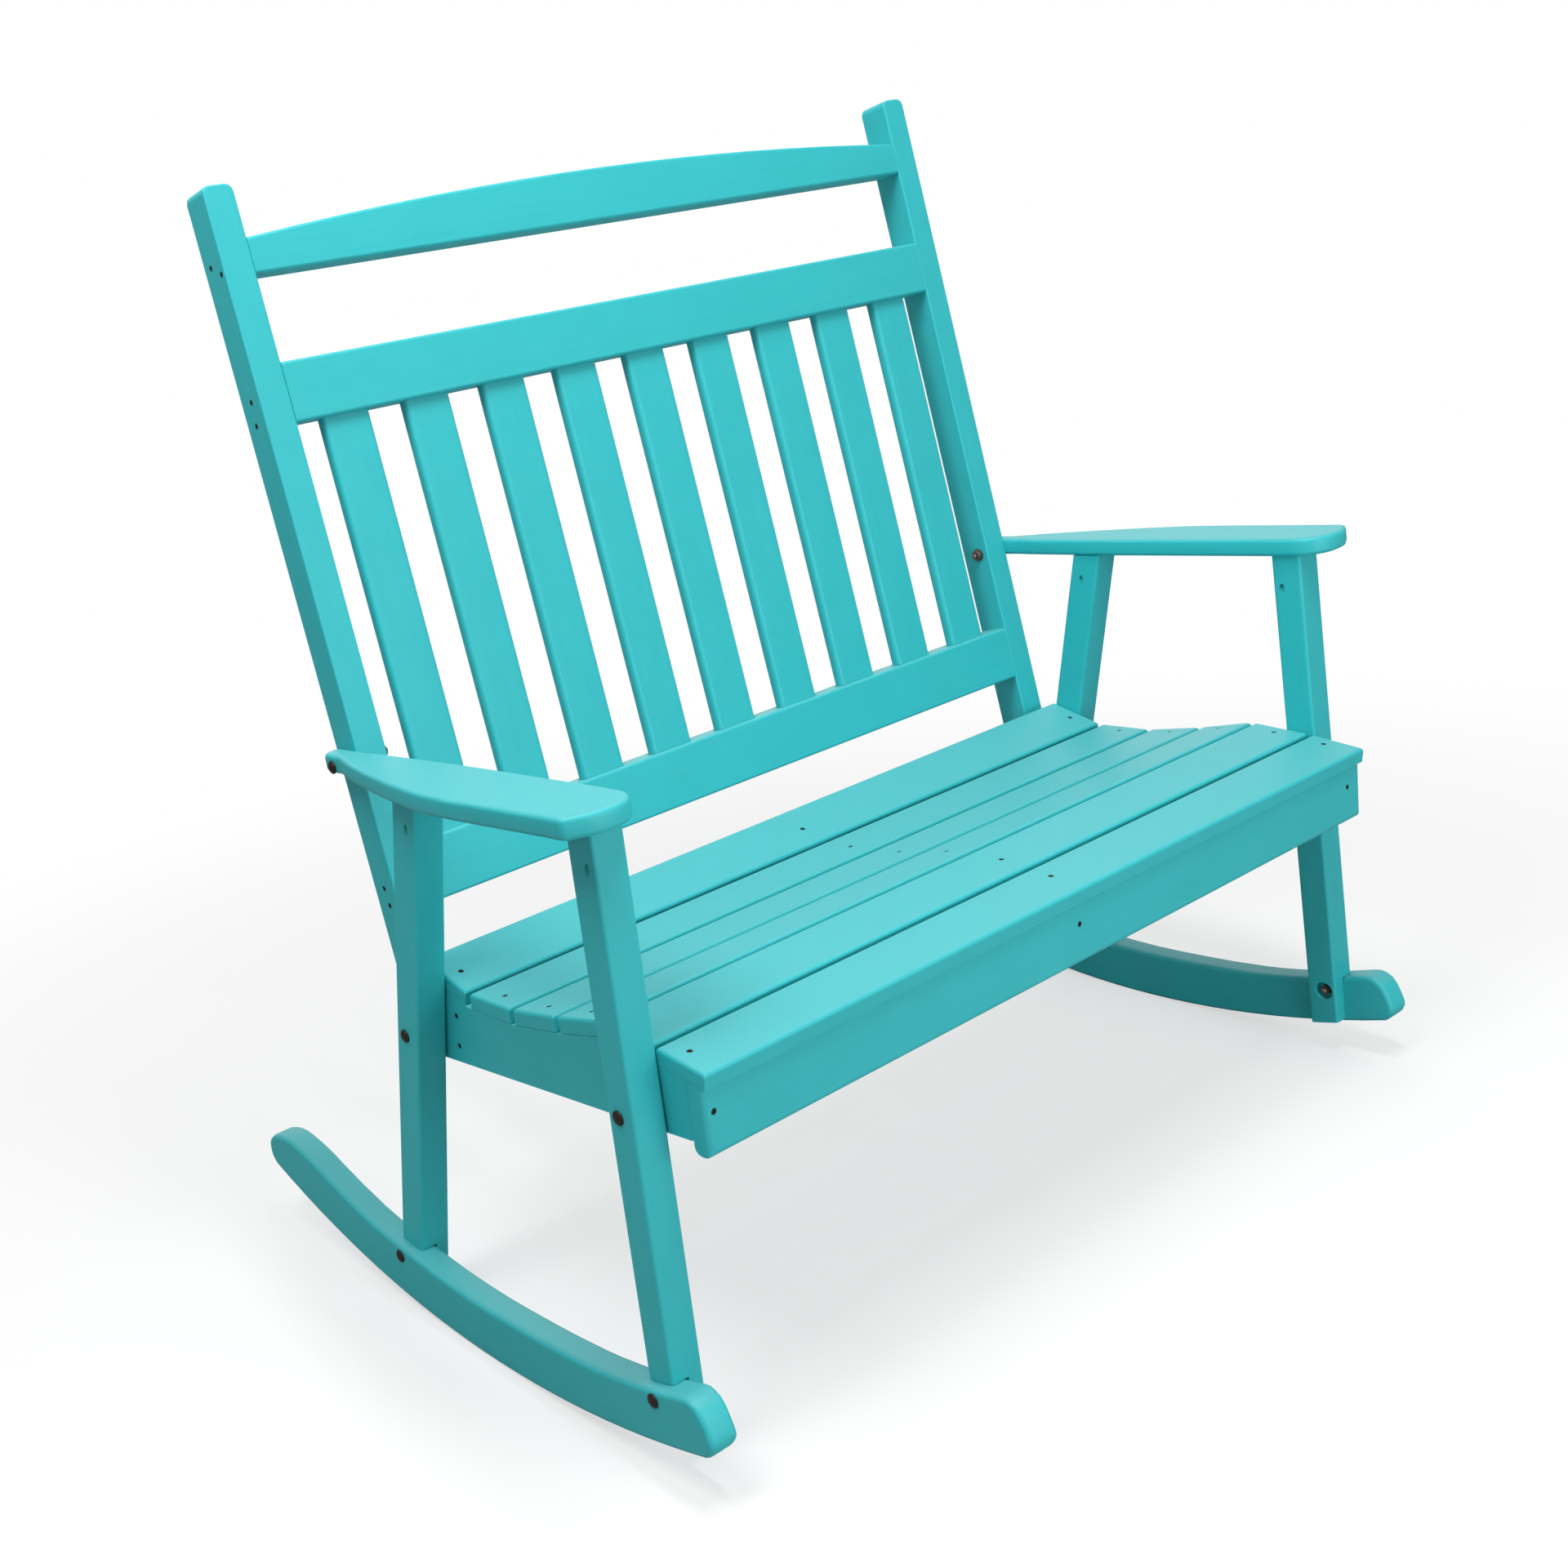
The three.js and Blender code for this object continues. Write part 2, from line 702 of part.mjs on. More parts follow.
function postGeometry() {
  const outline = roundedOutline(
    [[postInnerX, -postLength], [legInnerX, -postLength], [legInnerX, 0], [postInnerX, 0]],
    [0, 0, postCornerRound, postCornerRound],
  );
  return subtractAll(backBoard(outline, postDepth, 0, postRound), [holeFor('arm_bolt')]);
}

function sideRailGeometry() {
  const foot = postFrontY(railBottomHeight(seatRearY));
  const rail = boardAlongX(bearerOutline(foot + cutOverrun, railFrontY), railInnerX, legInnerX);
  const behind = postTopHeight;
  const postSpace = [
    new THREE.Vector2(postFrontY(0) - faceGap, 0),
    new THREE.Vector2(postFrontY(0) + behind, 0),
    new THREE.Vector2(postFrontY(behind) + behind, behind),
    new THREE.Vector2(postFrontY(behind) - faceGap, behind),
  ];
  const cutters = [boardAlongX(postSpace, railInnerX - cutOverrun, legInnerX + cutOverrun)];
  cutters.push(holeFor('rail_bolt_rear'), holeFor('rail_bolt_front'));
  return subtractAll(rail, cutters);
}

// Pieces across the bench

// The top rail is drawn longer than it is and cut square between the posts, so its long edges stay round
function crestGeometry() {
  const beyond = 1 + cutOverrun / postInnerX;
  const points = [
    new THREE.Vector2(-beyond * postInnerX, -crestBottomDrop),
    new THREE.Vector2(beyond * postInnerX, -crestBottomDrop),
  ];
  for (let step = 0; step <= crestSteps; step += 1) {
    const across = beyond * (1 - 2 * step / crestSteps);
    const drop = crestMiddleDrop + (crestEndDrop - crestMiddleDrop) * across * across;
    points.push(new THREE.Vector2(across * postInnerX, -drop));
  }
  const board = backBoard(points, backRailThickness, 0, boardRound);
  const height = 2 * postTopHeight + cutOverrun;
  const between = new THREE.BoxGeometry(2 * postInnerX, height, height);
  return toGeometry(toManifold(board).intersect(toManifold(between)));
}

function backRailGeometry(drop, width, slatSide) {
  const half = backRailThickness / 2;
  const profile = roundedOutline(
    [[-half, -half], [half, -half], [half, width - half], [-half, width - half]],
    [boardRound, boardRound, boardRound, boardRound],
  );
  const rail = extrudeOutline(profile, 2 * postInnerX, 0);
  rail.applyMatrix4(new THREE.Matrix4().makeBasis(
    new THREE.Vector3(0, 0, 1),
    new THREE.Vector3(0, 1, 0),
    new THREE.Vector3(-1, 0, 0),
  ));
  rail.translate(postInnerX, half - drop - width, -half);
  const edge = slatSide > 0 ? -drop : -drop - width;
  const pockets = [];
  for (const centre of backSlatCentres()) {
    const pocket = new THREE.BoxGeometry(
      backSlatWidth + 2 * faceGap,
      2 * (slatTenon + faceGap),
      backSlatThickness + 2 * faceGap,
    );
    pocket.translate(centre, edge, -backSlatSetback - backSlatThickness / 2);
    pockets.push(pocket);
  }
  return subtractAll(rail, pockets).applyMatrix4(backFrame());
}

function backSlatCentres() {
  const middle = (backSlatCount - 1) / 2;
  return Array.from({ length: backSlatCount }, (_, index) => (index - middle) * backSlatPitch);
}

function backSlatGeometry(centre) {
  const top = slatTenon - upperRailDrop - upperRailWidth;
  const bottom = -slatTenon - lowerRailDrop;
  const half = backSlatWidth / 2;
  const profile = roundedOutline(
    [[-half, -backSlatThickness], [half, -backSlatThickness], [half, 0], [-half, 0]],
    [backSlatRound, backSlatRound, backSlatRound, backSlatRound],
  );
  const slat = extrudeOutline(profile, top - bottom, 0);
  slat.applyMatrix4(new THREE.Matrix4().makeBasis(
    new THREE.Vector3(1, 0, 0),
    new THREE.Vector3(0, 0, 1),
    new THREE.Vector3(0, -1, 0),
  ));
  slat.translate(centre, top, -backSlatSetback);
  return slat.applyMatrix4(backFrame());
}

function centreSupportGeometry() {
  const outline = bearerOutline(crossBoardFrontY, railFrontY);
  return boardAlongX(outline, -supportWidth / 2, supportWidth / 2);
}

function crossBoardGeometry() {
  const corners = [
    [crossBoardRearY, bearingHeight(crossBoardRearY)],
    [crossBoardFrontY, bearingHeight(crossBoardFrontY)],
    [crossBoardFrontY, railBottomHeight(crossBoardFrontY) + crossBoardRise],
    [crossBoardRearY, railBottomHeight(crossBoardRearY) + crossBoardRise],
  ];
  return boardAlongX(roundedOutline(corners, [0, 0, railRound, railRound]), -railInnerX, railInnerX);
}

// The apron: its upright front corners are rounded
function apronGeometry() {
  const corners = [
    [apronRearY, bearingHeight(apronRearY)],
    [apronFrontY, bearingHeight(apronFrontY)],
    [apronFrontY, apronBottom],
    [apronRearY, apronBottom],
  ];
  const side = roundedOutline(corners, [0, 0, apronRound, apronRound]);
  const board = boardAlongX(side, -legInnerX - cutOverrun, legInnerX + cutOverrun);
  const plan = roundedOutline(
    [
      [-legInnerX, apronFrontY], [legInnerX, apronFrontY],
      [legInnerX, apronRearY + cutOverrun], [-legInnerX, apronRearY + cutOverrun],
    ],
    [apronEndRound, apronEndRound, 0, 0],
  );
  return toGeometry(toManifold(board).intersect(toManifold(extrudeOutline(plan, seatHeight, 0))));
}

// The bench as named meshes

const bench = new THREE.Group();
const rockerReachY = new THREE.Box2().setFromPoints(rockerOutline());
bench.position.y = -rockerReachY.getCenter(new THREE.Vector2()).x;

function addPiece(name, geometry, material = boards) {
  const mesh = new THREE.Mesh(geometry, material);
  mesh.name = name;
  bench.add(mesh);
}

function addPair(name, geometry, material = boards) {
  addPiece(`${name}_right`, geometry, material);
  addPiece(`${name}_left`, mirrored(geometry), material);
}

addPair('rocker', rockerGeometry());
const frontLegBolts = ['rocker_bolt_front', 'rail_bolt_front'];
const rearLegBolts = ['rocker_bolt_rear', 'rail_bolt_rear'];
addPair('front_leg', legGeometry(frontLegFootY, frontLegAngle, frontLegDepth, frontLegBolts));
addPair('rear_leg', legGeometry(rearLegFootY, rearLegAngle, rearLegDepth, rearLegBolts));
addPair('armrest', armGeometry());
addPair('back_post', postGeometry());
addPair('seat_side_rail', sideRailGeometry());
addPiece('seat_center_support', centreSupportGeometry());
addPiece('seat_rear_board', crossBoardGeometry());
addPiece('front_apron', apronGeometry());
for (const index of slatIndexes) {
  addPiece(`seat_slat_${index + 1}`, seatSlatGeometry(index));
}
addPiece('crest_rail', crestGeometry());
addPiece('upper_back_rail', backRailGeometry(upperRailDrop, upperRailWidth, -1));
addPiece('lower_back_rail', backRailGeometry(lowerRailDrop, lowerRailWidth, 1));
backSlatCentres().forEach((centre, index) => {
  addPiece(`back_slat_${index + 1}`, backSlatGeometry(centre));
});
for (const [name, place] of Object.entries(boltPlaces)) {
  addPair(name, boltGeometry(place), fasteners);
  addPair(name.replace('bolt', 'nut'), nutGeometry(place), fasteners);
}

export default bench;
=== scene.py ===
"""A rocking bench of turquoise plastic lumber on curved rockers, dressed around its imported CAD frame.

Metres, +Z up, +X along the bench, the front faces -Y. The floor is at Z = 0.
"""

import math

import bmesh
import bpy
from mathutils import Matrix, Vector
from mathutils.bvhtree import BVHTree


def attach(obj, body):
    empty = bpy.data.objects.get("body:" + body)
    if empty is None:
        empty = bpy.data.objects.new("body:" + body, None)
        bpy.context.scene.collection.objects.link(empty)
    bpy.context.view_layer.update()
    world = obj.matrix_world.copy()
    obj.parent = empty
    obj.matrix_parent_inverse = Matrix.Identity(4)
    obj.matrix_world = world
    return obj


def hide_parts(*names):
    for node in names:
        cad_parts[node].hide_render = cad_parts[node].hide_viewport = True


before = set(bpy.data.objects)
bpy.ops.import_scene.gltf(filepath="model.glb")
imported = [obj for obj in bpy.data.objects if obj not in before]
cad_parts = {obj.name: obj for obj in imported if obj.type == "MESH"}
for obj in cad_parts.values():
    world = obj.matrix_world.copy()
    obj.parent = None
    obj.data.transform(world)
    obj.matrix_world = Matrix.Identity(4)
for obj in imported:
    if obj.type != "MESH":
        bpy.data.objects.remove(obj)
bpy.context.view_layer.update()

BODY = "root"
MM = 0.001

# Eased edges of the finished boards, and of the bolts and nuts
EDGE_RADIUS = 0.8 * MM
STEEL_EDGE_RADIUS = 0.35 * MM
EDGE_STEPS = 2
SHARP_ANGLE = math.radians(50)
SCREW_SHARP_ANGLE = math.radians(30)
SAME_PLANE = math.radians(0.4)
WELD = 0.01 * MM

# The directions in which the boards were extruded
BACK_ANGLE = math.radians(10.69)
REAR_LEG_ANGLE = math.radians(-13.3)
ALONG = Vector((1, 0, 0))
FORE_AND_AFT = Vector((0, 1, 0))
UP_THE_BACK = Vector((0, math.sin(BACK_ANGLE), math.cos(BACK_ANGLE)))
UP_THE_REAR_LEG = Vector((0, math.sin(REAR_LEG_ANGLE), math.cos(REAR_LEG_ANGLE)))
UPRIGHT = Vector((0, 0, 1))
BOARD_RUNS = {
    "rocker": FORE_AND_AFT,
    "front_leg": UPRIGHT,
    "rear_leg": UP_THE_REAR_LEG,
    "armrest": FORE_AND_AFT,
    "back_post": UP_THE_BACK,
    "seat_side_rail": FORE_AND_AFT,
    "seat_center_support": FORE_AND_AFT,
    "seat_rear_board": ALONG,
    "front_apron": ALONG,
    "seat_slat": ALONG,
    "crest_rail": ALONG,
    "upper_back_rail": ALONG,
    "lower_back_rail": ALONG,
    "back_slat": UP_THE_BACK,
}

# From one board to the next, the step in the pattern of streaks, so that no two boards match
PATTERN_STEP = 0.731
# How much of a bolt's end is left bare, from its tip
BARE_END = 12 * MM

# Screws: their heads sit in countersunk holes
SCREW_HEAD = 6.8 * MM
SCREW_HEAD_HEIGHT = 1.4 * MM
SCREW_TOP_SHARE = 0.8
SCREW_SIDES = 20
SCREW_RECESS = 2.3 * MM
SCREW_RECESS_DEPTH = 0.9 * MM
SCREW_SINK = 0.5 * MM
HOLE_MOUTH = 7.6 * MM
HOLE_FLOOR = 7.0 * MM
HOLE_DEPTH = 3.1 * MM
HOLE_OVERRUN = 0.5 * MM
HOLE_SIDES = 24

# Where the screws are, in mm: read off the photograph, or following from it where it hides them. Each is
# found on its board by a line that starts well outside: above the seat, ahead of the apron, or beside the
# bench.
ABOVE_SEAT = 600
AHEAD_OF_APRON = -700
BESIDE_BENCH = 800
SEAT_SCREW_ROWS = [10.6, -67.6, -144.6, -216.3, -294.2, -359.2]
SEAT_SCREW_COLUMNS = [-504.5, 0, 504.5]
APRON_SCREW_HEIGHT = 374.5
APRON_SCREW_COLUMNS = [-512, 0, 498]
RAIL_SCREWS = [(4.9, 365.1), (8.7, 329.3)]
# Down from the top of the post along its front face, and back from that face
POST_SCREWS = [
    (78.6, 27.6), (90.0, 8.4), (222.7, 20.3), (247.5, 22.9), (757.4, 22.2), (776.8, 20.0),
]
POST_TOP = Vector((0, 228.7, 1235.8)) * MM

# Pocket holes near the tops of the legs, where slanted screws go up into the arms. Their places along Y
# and Z are in mm, and the lines that find them start on either side of the legs' middle plane.
LEG_MIDDLE = 542
BESIDE_LEG = 200
POCKET_WIDTH = 7.0 * MM
POCKET_DEPTH = 13.0 * MM
POCKET_SLANT = math.radians(58)
OUTER_POCKETS = {"rear_leg": (-17.6, 587), "front_leg": (-317, 603)}
INNER_POCKETS = {"rear_leg": (-11, 595), "front_leg": (-303, 603)}

# The camera, fitted to the photograph's perspective
CAMERA_PLACE = Vector((-1459.334, -1583.212, 1152.376)) * MM
CAMERA_RIGHT = Vector((0.79242894, -0.59227704, -0.14582277))
CAMERA_UP = Vector((0.2741477, 0.13226808, 0.95254826))
CAMERA_AHEAD = Vector((0.54488477, 0.79480379, -0.26718444))
CAMERA_LENS = 43.168
CAMERA_SENSOR = 36
CAMERA_SHIFT = (0.15835, -0.02334)
CAMERA_REACH = 100

# Painted sheen: faces that look up are tinted a washed-out turquoise, as the photograph shows them, in
# place of
# the sheen that light gives them. Here: how far they go over to that colour, and the shares of their
# direction that point up, between which that sets in
PAINTED_SHEEN_SHARE = 0.75
PAINTED_SHEEN_FACING = (0.55, 0.97)

# Studio, in metres. Between the two fade distances the floor that the camera sees turns plain white.
FLOOR_SIZE = 40
FLOOR_PARTS = 4
FADE_START = 1.0
FADE_END = 2.2
FLOOR_GLOW = 0.6
# The room's even level, and a brighter window behind the bench: its direction and how softly it begins
WORLD_LEVEL = 0.39
WINDOW_LEVEL = 1.3
WINDOW_DIRECTION = Vector((0.55, 0.78, 0.3)).normalized()
WINDOW_SPREAD = (0.75, 0.98)

LIGHTS = {
    "overhead_strip": {
        "place": (-0.2, -0.9, 3.2), "aim": (0, -0.1, 0.4), "size": (0.3, 1.2), "watts": 37,
    },
    "left_softbox": {
        "place": (-1.5, -0.3, 2.9), "aim": (0, 0, 0.4), "size": (0.8, 1.2), "watts": 35,
    },
    "front_softbox": {
        "place": (-0.1, -2.4, 0.9), "aim": (0, 0, 0.4), "size": (1.2, 0.8), "watts": 20,
    },
}


def linear(hex_colour):
    """An sRGB hex value as linear red, green, blue and alpha."""
    values = []
    for start in (0, 2, 4):
        part = int(hex_colour[start:start + 2], 16) / 255
        values.append(part / 12.92 if part <= 0.04045 else ((part + 0.055) / 1.055) ** 2.4)
    return (*values, 1)


def add_node(tree, kind, settings=None, values=None, links=None):
    """A new node in a tree: its settings, the values of its sockets, and what is linked into them."""
    node = tree.nodes.new(kind)
    for name, value in (settings or {}).items():
        setattr(node, name, value)
    for socket, value in (values or {}).items():
        node.inputs[socket].default_value = value
    for socket, source in (links or {}).items():
        tree.links.new(source, node.inputs[socket])
    return node


def socket_named(sockets, identifier):
    """The socket with this identifier, for nodes where several share one name."""
    return next(item for item in sockets if item.identifier == identifier)


def new_material(name):
    material = bpy.data.materials.new(name)
    material.use_nodes = True
    material.node_tree.nodes.clear()
    return material


# Materials


def plastic_lumber(name, dark, light, pale):
    """High-density polyethylene, extruded as lumber and lightly brushed.

    It is coloured right through, satin and a little waxy. The die leaves faint streaks along the board,
    and the brushed skin breaks up the reflections. Faces that look up get a painted sheen: they are
    mixed towards a washed-out turquoise in place of the sheen that light gives them.
    """
    material = new_material(name)
    tree = material.node_tree
    place = add_node(tree, "ShaderNodeAttribute", {"attribute_name": "board_place"})
    # Streaks 6 mm wide and about 150 mm long
    streak_place = add_node(
        tree, "ShaderNodeMapping",
        values={"Scale": (7, 170, 170)},
        links={"Vector": place.outputs["Vector"]},
    )
    streaks = add_node(
        tree, "ShaderNodeTexNoise",
        values={"Scale": 1, "Detail": 3, "Roughness": 0.55},
        links={"Vector": streak_place.outputs["Vector"]},
    )
    # Cloudy patches about 60 mm across
    clouds = add_node(
        tree, "ShaderNodeTexNoise",
        values={"Scale": 16, "Detail": 2, "Roughness": 0.5},
        links={"Vector": place.outputs["Vector"]},
    )
    mixed = add_node(
        tree, "ShaderNodeMix", {"data_type": "FLOAT"}, {"Factor": 0.45},
        {"A": streaks.outputs["Fac"], "B": clouds.outputs["Fac"]},
    )
    tint = add_node(tree, "ShaderNodeValToRGB", links={"Fac": mixed.outputs["Result"]})
    tint.color_ramp.elements[0].position = 0.3
    tint.color_ramp.elements[0].color = linear(dark)
    tint.color_ramp.elements[1].position = 0.7
    tint.color_ramp.elements[1].color = linear(light)
    # Painted sheen: the more a face looks up, the more its colour goes over to the washed-out sheen colour
    facing = add_node(tree, "ShaderNodeTexCoord")
    heading = add_node(tree, "ShaderNodeSeparateXYZ", links={"Vector": facing.outputs["Normal"]})
    level_from, level_to = PAINTED_SHEEN_FACING
    painted_sheen_mask = add_node(
        tree, "ShaderNodeMapRange", {"interpolation_type": "SMOOTHSTEP"},
        {"From Min": level_from, "From Max": level_to, "To Max": PAINTED_SHEEN_SHARE},
        {"Value": heading.outputs["Z"]},
    )
    painted_sheen_mix = add_node(
        tree, "ShaderNodeMix", {"data_type": "RGBA"}, links={"Factor": painted_sheen_mask.outputs["Result"]}
    )
    socket_named(painted_sheen_mix.inputs, "B_Color").default_value = linear(pale)
    tree.links.new(tint.outputs["Color"], socket_named(painted_sheen_mix.inputs, "A_Color"))
    colour_with_painted_sheen = socket_named(painted_sheen_mix.outputs, "Result_Color")
    # Brush lines under 1 mm wide, drawn a little coarser so that they show
    brush_place = add_node(
        tree, "ShaderNodeMapping",
        values={"Scale": (35, 900, 900)},
        links={"Vector": place.outputs["Vector"]},
    )
    brushing = add_node(
        tree, "ShaderNodeTexNoise",
        values={"Scale": 1, "Detail": 4, "Roughness": 0.6},
        links={"Vector": brush_place.outputs["Vector"]},
    )
    sheen_range = add_node(
        tree, "ShaderNodeMapRange",
        values={"From Min": 0.3, "From Max": 0.7, "To Min": 0.46, "To Max": 0.56},
        links={"Value": brushing.outputs["Fac"]},
    )
    relief = add_node(
        tree, "ShaderNodeBump", values={"Strength": 0.1, "Distance": 0.25 * MM},
        links={"Height": brushing.outputs["Fac"]},
    )
    # A little light goes about 5 mm into the plastic, red less far
    surface = add_node(
        tree, "ShaderNodeBsdfPrincipled",
        values={
            "IOR": 1.5,
            "Subsurface Weight": 0.5, "Subsurface Radius": (0.4, 1, 1), "Subsurface Scale": 5 * MM,
        },
        links={
            "Base Color": colour_with_painted_sheen,
            "Roughness": sheen_range.outputs["Result"],
            "Normal": relief.outputs["Normal"],
        },
    )
    add_node(tree, "ShaderNodeOutputMaterial", links={"Surface": surface.outputs["BSDF"]})
    return material


def coated_steel(name, colour, worn, roughness, metallic):
    """Steel with a baked bronze coating: dark, half metallic, with a fine orange-peel skin."""
    material = new_material(name)
    tree = material.node_tree
    place = add_node(tree, "ShaderNodeTexCoord")
    # Coating thickness varies over about 4 mm
    blotches = add_node(
        tree, "ShaderNodeTexNoise",
        values={"Scale": 260, "Detail": 3},
        links={"Vector": place.outputs["Object"]},
    )
    tint = add_node(tree, "ShaderNodeValToRGB", links={"Fac": blotches.outputs["Fac"]})
    tint.color_ramp.elements[0].position = 0.35
    tint.color_ramp.elements[0].color = linear(colour)
    tint.color_ramp.elements[1].position = 0.75
    tint.color_ramp.elements[1].color = linear(worn)
    # Orange peel under 1 mm across
    peel = add_node(
        tree, "ShaderNodeTexNoise",
        values={"Scale": 1400, "Detail": 2},
        links={"Vector": place.outputs["Object"]},
    )
    relief = add_node(
        tree, "ShaderNodeBump", values={"Strength": 0.2, "Distance": 0.05 * MM},
        links={"Height": peel.outputs["Fac"]},
    )
    surface = add_node(
        tree, "ShaderNodeBsdfPrincipled", values={"Metallic": metallic, "Roughness": roughness},
        links={"Base Color": tint.outputs["Color"], "Normal": relief.outputs["Normal"]},
    )
    add_node(tree, "ShaderNodeOutputMaterial", links={"Surface": surface.outputs["BSDF"]})
    return material


def studio_paper(name, colour, seen_colour):
    """A roll of pale matt paper that keeps the bench's shadow.

    The camera sees it in a lighter colour that fades to plain white.
    """
    material = new_material(name)
    tree = material.node_tree
    rays = add_node(tree, "ShaderNodeLightPath")
    tint = add_node(
        tree, "ShaderNodeMix", {"data_type": "RGBA"}, links={"Factor": rays.outputs["Is Camera Ray"]}
    )
    for socket, value in (("A_Color", colour), ("B_Color", seen_colour)):
        socket_named(tint.inputs, socket).default_value = linear(value)
    mixed = socket_named(tint.outputs, "Result_Color")
    paper = add_node(tree, "ShaderNodeBsdfDiffuse", links={"Color": mixed})
    glow = add_node(tree, "ShaderNodeEmission", values={"Color": (1, 1, 1, 1), "Strength": 1})
    place = add_node(tree, "ShaderNodeTexCoord")
    distance = add_node(
        tree, "ShaderNodeVectorMath", {"operation": "LENGTH"}, links={0: place.outputs["Object"]}
    )
    fade = add_node(
        tree, "ShaderNodeMapRange", {"interpolation_type": "SMOOTHSTEP"},
        {"From Min": FADE_START, "From Max": FADE_END, "To Min": FLOOR_GLOW, "To Max": 1},
        {"Value": distance.outputs["Value"]},
    )
    share = add_node(
        tree, "ShaderNodeMath", {"operation": "MULTIPLY"},
        links={0: rays.outputs["Is Camera Ray"], 1: fade.outputs["Result"]},
    )
    both = add_node(
        tree, "ShaderNodeMixShader",
        links={0: share.outputs["Value"], 1: paper.outputs["BSDF"], 2: glow.outputs["Emission"]},
    )
    add_node(tree, "ShaderNodeOutputMaterial", links={"Surface": both.outputs["Shader"]})
    return material


# Boards


def cad_mesh(node):
    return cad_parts[node].data


def surface_at(node, start, direction):
    """Where a line first meets a CAD node, and which way the surface faces there."""
    mesh = cad_mesh(node)
    tree = BVHTree.FromPolygons([v.co for v in mesh.vertices], [p.vertices for p in mesh.polygons])
    place, normal, _, _ = tree.ray_cast(start, direction)
    return place, normal


def link_mesh(name, mesh):
    piece = bpy.data.objects.new(name, mesh)
    bpy.context.scene.collection.objects.link(piece)
    return piece


def settled(piece):
    """The piece's modifiers become part of its mesh."""
    graph = bpy.context.evaluated_depsgraph_get()
    mesh = bpy.data.meshes.new_from_object(piece.evaluated_get(graph), depsgraph=graph)
    piece.modifiers.clear()
    piece.data = mesh
    return piece


def countersink(mesh, place, facing):
    """Adds the shape of one screw's hole to a mesh of cutters."""
    turn = facing.to_track_quat("Z", "Y").to_matrix().to_4x4()
    slope = (HOLE_MOUTH - HOLE_FLOOR) / HOLE_DEPTH
    bmesh.ops.create_cone(
        mesh, cap_ends=True, segments=HOLE_SIDES,
        radius1=HOLE_FLOOR / 2, radius2=(HOLE_MOUTH + HOLE_OVERRUN * slope) / 2,
        depth=HOLE_DEPTH + HOLE_OVERRUN,
        matrix=Matrix.Translation(place + facing * (HOLE_OVERRUN - HOLE_DEPTH) / 2) @ turn,
    )


def pocket(mesh, place, facing):
    """Adds the shape of one slanted pocket hole, which runs upwards into the leg."""
    inwards = (-facing * math.cos(POCKET_SLANT) + UPRIGHT * math.sin(POCKET_SLANT)).normalized()
    turn = inwards.to_track_quat("Z", "Y").to_matrix().to_4x4()
    bmesh.ops.create_cone(
        mesh, cap_ends=True, segments=HOLE_SIDES,
        radius1=POCKET_WIDTH / 2, radius2=POCKET_WIDTH / 2, depth=2 * POCKET_DEPTH,
        matrix=Matrix.Translation(place) @ turn,
    )


def cutter_for(name, screws, pockets):
    shape = bmesh.new()
    for place, facing in screws:
        countersink(shape, place, facing)
    for place, facing in pockets:
        pocket(shape, place, facing)
    mesh = bpy.data.meshes.new(name + "_cutter")
    shape.to_mesh(mesh)
    shape.free()
    return link_mesh(name + "_cutter", mesh)


def board_run(node):
    for start, direction in BOARD_RUNS.items():
        if node.startswith(start):
            return direction
    raise ValueError(node)


def store_board_place(mesh, run, order):
    """Stores each point's place along, across and through its board, for the streaks to follow."""
    across = UPRIGHT if run == ALONG else ALONG
    through = run.cross(across).normalized()
    spread = PATTERN_STEP * order
    attribute = mesh.attributes.new("board_place", "FLOAT_VECTOR", "POINT")
    for point, stored in zip(mesh.vertices, attribute.data):
        stored.vector = (
            point.co.dot(run) + spread, point.co.dot(across) + spread, point.co.dot(through),
        )


def eased_copy(node, radius):
    """A copy of a CAD node's mesh: its flat faces made whole, and its sharp edges eased."""
    mesh = cad_mesh(node).copy()
    shape = bmesh.new()
    shape.from_mesh(mesh)
    bmesh.ops.remove_doubles(shape, verts=shape.verts, dist=WELD)
    bmesh.ops.dissolve_limit(shape, angle_limit=SAME_PLANE, verts=shape.verts, edges=shape.edges)
    for face in shape.faces:
        face.smooth = True
    shape.to_mesh(mesh)
    shape.free()
    piece = link_mesh("finished_" + node, mesh)
    bevel = piece.modifiers.new("eased edges", "BEVEL")
    bevel.width = radius
    bevel.segments = EDGE_STEPS
    bevel.limit_method = "ANGLE"
    bevel.angle_limit = SHARP_ANGLE
    return settled(piece)


def finished_board(node, order, screws, pockets):
    """A board with its cut edges eased and its holes drilled, in place of its plain CAD solid."""
    board = eased_copy(node, EDGE_RADIUS)
    if screws or pockets:
        cutter = cutter_for(node, screws, pockets)
        drill = board.modifiers.new("holes", "BOOLEAN")
        drill.operation = "DIFFERENCE"
        drill.object = cutter
        drill.solver = "EXACT"
        settled(board)
        bpy.data.objects.remove(cutter)
    board.data.set_sharp_from_angle(angle=SHARP_ANGLE)
    weighted = board.modifiers.new("flat faces", "WEIGHTED_NORMAL")
    weighted.keep_sharp = True
    settled(board)
    store_board_place(board.data, board_run(node), order)
    board.data.materials.clear()
    board.data.materials.append(turquoise_lumber)
    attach(board, BODY)
    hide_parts(node)


# Screws


def seat_screws():
    for number, y in enumerate(SEAT_SCREW_ROWS, start=1):
        node = f"seat_slat_{number}"
        for x in SEAT_SCREW_COLUMNS:
            yield node, Vector((x, y, ABOVE_SEAT)) * MM, Vector((0, 0, -1))


def apron_screws():
    for x in APRON_SCREW_COLUMNS:
        yield "front_apron", Vector((x, AHEAD_OF_APRON, APRON_SCREW_HEIGHT)) * MM, Vector((0, 1, 0))


